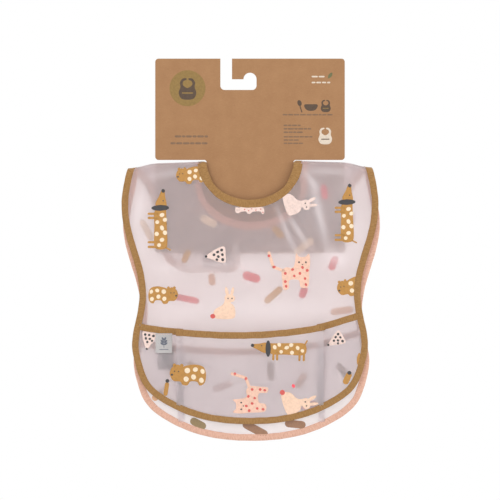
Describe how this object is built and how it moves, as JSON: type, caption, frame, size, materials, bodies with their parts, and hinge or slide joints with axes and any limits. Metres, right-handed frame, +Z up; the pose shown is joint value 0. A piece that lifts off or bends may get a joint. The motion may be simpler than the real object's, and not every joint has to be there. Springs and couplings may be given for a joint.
{
  "type": "baby bib twin pack",
  "caption": "Frosted film crumb-pocket baby bibs with fabric binding, folded over a kraft hanging card with a hook cut-out.",
  "frame": {"origin": "centre of the round seat of the card's display-hook cut-out, in the middle of the card's thickness", "axes": "+Z up as the pack hangs, +X to the viewer's right, +Y to the back; the printed front faces -Y"},
  "size_m": [0.2711, 0.0215, 0.4012],
  "materials": {
    "kraft_card": "matte kraft paperboard with fine fibres",
    "frosted_film": "frosted translucent soft film with light creases and print",
    "mustard_binding": "woven bias tape, folded and stitched",
    "pink_binding": "woven bias tape, folded and stitched",
    "woven_label": "fine woven label, matte",
    "hook_and_loop": "hook-and-loop tape, fuzzy"
  },
  "bodies": {
    "pack_card": {"header_card": "kraft_card", "front_left_shoulder_film": "frosted_film", "front_left_shoulder_binding": "mustard_binding", "front_right_shoulder_film": "frosted_film", "front_right_shoulder_binding": "mustard_binding", "rear_left_shoulder_film": "frosted_film", "rear_left_shoulder_binding": "pink_binding", "rear_right_shoulder_film": "frosted_film", "rear_right_shoulder_binding": "pink_binding"},
    "front_bib": {"front_body_film": "frosted_film", "front_body_binding": "mustard_binding", "front_neck_binding": "mustard_binding", "front_pocket_rim_film": "frosted_film", "front_pocket_binding_ends": "mustard_binding"},
    "front_pocket": {"front_pocket_film": "frosted_film", "front_pocket_binding": "mustard_binding"},
    "front_label_flap": {"front_label": "woven_label"},
    "front_left_strap": {"front_left_strap_film": "frosted_film", "front_left_strap_binding": "mustard_binding", "front_loop_patch": "hook_and_loop"},
    "front_right_strap": {"front_right_strap_film": "frosted_film", "front_right_strap_binding": "mustard_binding", "front_hook_patch": "hook_and_loop"},
    "rear_bib": {"rear_body_film": "frosted_film", "rear_body_binding": "pink_binding", "rear_neck_binding": "pink_binding", "rear_pocket_rim_film": "frosted_film", "rear_pocket_binding_ends": "pink_binding", "rear_label": "woven_label"},
    "rear_pocket": {"rear_pocket_film": "frosted_film", "rear_pocket_binding": "pink_binding"},
    "rear_left_strap": {"rear_left_strap_film": "frosted_film", "rear_left_strap_binding": "pink_binding", "rear_loop_patch": "hook_and_loop"},
    "rear_right_strap": {"rear_right_strap_film": "frosted_film", "rear_right_strap_binding": "pink_binding", "rear_hook_patch": "hook_and_loop"}
  },
  "joints": [
    {"name": "front_bib_lift", "type": "hinge", "parent": "pack_card", "child": "front_bib", "pos_m": [0, -0.0045, -0.0915], "axis": [-1, 0, 0], "range_deg": [0, 80]},
    {"name": "front_pocket_gape", "type": "hinge", "parent": "front_bib", "child": "front_pocket", "pos_m": [0, -0.0054, -0.337], "axis": [1, 0, 0], "range_deg": [-5, 12], "stiffness_Nm_per_rad": 0.02, "springref_deg": -0.66},
    {"name": "front_label_flip", "type": "hinge", "parent": "front_bib", "child": "front_label_flap", "pos_m": [-0.0902, -0.0055, -0.2656], "axis": [-1, 0, 0], "range_deg": [0, 70]},
    {"name": "front_right_strap_open", "type": "hinge", "parent": "pack_card", "child": "front_right_strap", "pos_m": [0, 0.0067, -0.0915], "axis": [1, 0, 0], "range_deg": [0, 140]},
    {"name": "front_left_strap_open", "type": "hinge", "parent": "pack_card", "child": "front_left_strap", "pos_m": [0, 0.0047, -0.0915], "axis": [1, 0, 0], "range_deg": [0, 126]},
    {"name": "rear_bib_lift", "type": "hinge", "parent": "pack_card", "child": "rear_bib", "pos_m": [0, -0.0012, -0.09], "axis": [-1, 0, 0], "range_deg": [0, 36]},
    {"name": "rear_pocket_gape", "type": "hinge", "parent": "rear_bib", "child": "rear_pocket", "pos_m": [0, -0.0021, -0.3545], "axis": [1, 0, 0], "range_deg": [0, 10]},
    {"name": "rear_right_strap_open", "type": "hinge", "parent": "pack_card", "child": "rear_right_strap", "pos_m": [0, 0.0032, -0.09], "axis": [1, 0, 0], "range_deg": [0, 28]},
    {"name": "rear_left_strap_open", "type": "hinge", "parent": "pack_card", "child": "rear_left_strap", "pos_m": [0, 0.0012, -0.09], "axis": [1, 0, 0], "range_deg": [0, 25.2]}
  ],
  "couplings": [
    {"joint": "rear_bib_lift", "follows": "front_bib_lift", "ratio": 0.45},
    {"joint": "rear_pocket_gape", "follows": "front_bib_lift", "ratio": 0.125},
    {"joint": "front_left_strap_open", "follows": "front_right_strap_open", "ratio": 0.9},
    {"joint": "rear_right_strap_open", "follows": "front_right_strap_open", "ratio": 0.2},
    {"joint": "rear_left_strap_open", "follows": "front_right_strap_open", "ratio": 0.18}
  ]
}
